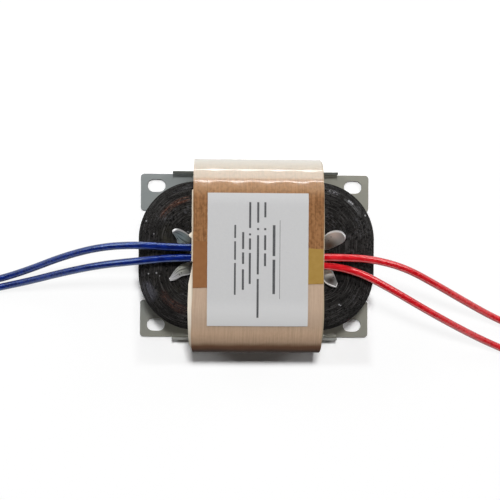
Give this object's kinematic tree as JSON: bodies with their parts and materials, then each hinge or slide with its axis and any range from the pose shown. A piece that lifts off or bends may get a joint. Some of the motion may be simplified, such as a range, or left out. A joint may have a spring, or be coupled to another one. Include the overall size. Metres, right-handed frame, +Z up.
{
  "type": "r-core transformer",
  "caption": "Open-frame mains transformer with a round-section ring core, paper-wrapped coils, a slotted sheet bracket and short flying leads.",
  "frame": {"origin": "centre of the mounting bracket's underside, on the surface that it is screwed to", "axes": "+Z up from the mounting surface through the label, +X along the two coils' axes towards the red leads, +Y across the coils"},
  "size_m": [0.2778, 0.0885, 0.0351],
  "materials": {
    "core_paint": "semi-gloss black varnish over wound steel strip",
    "bracket_steel": "galvanised sheet, faintly olive grey",
    "bobbin_nylon": "natural moulded nylon",
    "enamelled_copper": "enamelled copper wire, close wound",
    "insulating_tape": "yellow polyester tape",
    "cream_paper": "cream insulating paper",
    "kraft_paper": "bare tan kraft paper, faint grain round the belt",
    "film_over_kraft": "clear glossy film laid on brown kraft paper",
    "yellow_tape": "translucent golden tape",
    "label_paper": "matt pale grey label",
    "splice_sleeve": "black shrink sleeve",
    "blue_insulation": "glossy blue PVC",
    "red_insulation": "glossy red PVC",
    "tinned_copper": "stripped, twisted and tinned strands"
  },
  "bodies": {
    "root": {"r_core": "core_paint", "mounting_bracket": "bracket_steel", "rear_bobbin_upper_half": "bobbin_nylon", "rear_bobbin_lower_half": "bobbin_nylon", "front_bobbin_upper_half": "bobbin_nylon", "front_bobbin_lower_half": "bobbin_nylon", "rear_primary_winding": "enamelled_copper", "front_primary_winding": "enamelled_copper", "rear_secondary_winding": "enamelled_copper", "front_secondary_winding": "enamelled_copper", "rear_interlayer_tape": "insulating_tape", "front_interlayer_tape": "insulating_tape", "rear_coil_tape": "insulating_tape", "front_coil_tape": "insulating_tape", "cream_paper_wrap": "cream_paper", "kraft_paper_wrap": "kraft_paper", "film_wrap": "film_over_kraft", "yellow_tape": "yellow_tape", "label": "label_paper", "rear_blue_splice_sleeve": "splice_sleeve", "front_blue_splice_sleeve": "splice_sleeve", "rear_red_splice_sleeve": "splice_sleeve", "front_red_splice_sleeve": "splice_sleeve", "rear_blue_lead": "blue_insulation", "front_blue_lead": "blue_insulation", "rear_red_lead": "red_insulation", "front_red_lead": "red_insulation", "rear_blue_tinned_end": "tinned_copper", "front_blue_tinned_end": "tinned_copper", "rear_red_tinned_end": "tinned_copper", "front_red_tinned_end": "tinned_copper"}
  },
  "joints": []
}
